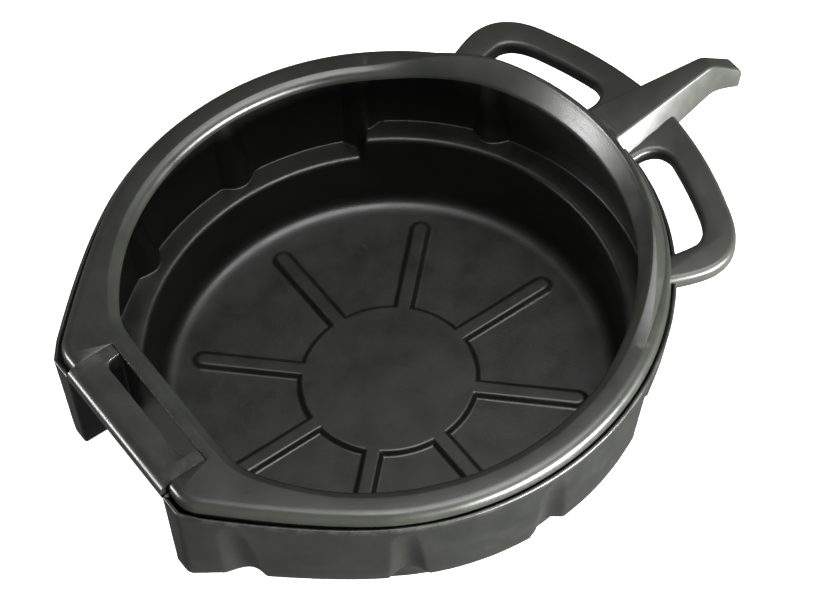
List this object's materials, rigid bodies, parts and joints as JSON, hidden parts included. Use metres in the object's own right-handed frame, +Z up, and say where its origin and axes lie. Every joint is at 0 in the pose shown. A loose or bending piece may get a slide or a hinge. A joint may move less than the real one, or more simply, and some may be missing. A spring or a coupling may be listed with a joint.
{
  "type": "oil drain pan",
  "caption": "Round fluted plastic tub with a raised splash crest, a front hand grip, loop handles at the back and a covered pouring spout between them.",
  "frame": {"origin": "on the ground, under the middle of the pan's length and width", "axes": "+Y from the front grip towards the pouring spout, +X to the right of it, +Z up out of the bowl"},
  "size_m": [0.458, 0.5902, 0.169],
  "materials": {
    "bowl_plastic": "satin black with a fine moulded grain",
    "rim_plastic": "semi-gloss black",
    "handle_plastic": "satin black"
  },
  "bodies": {
    "root": {"bowl": "bowl_plastic", "splash_rim": "rim_plastic", "front_grip": "rim_plastic", "right_loop_handle": "handle_plastic", "left_loop_handle": "handle_plastic", "pour_spout": "handle_plastic"}
  },
  "joints": []
}
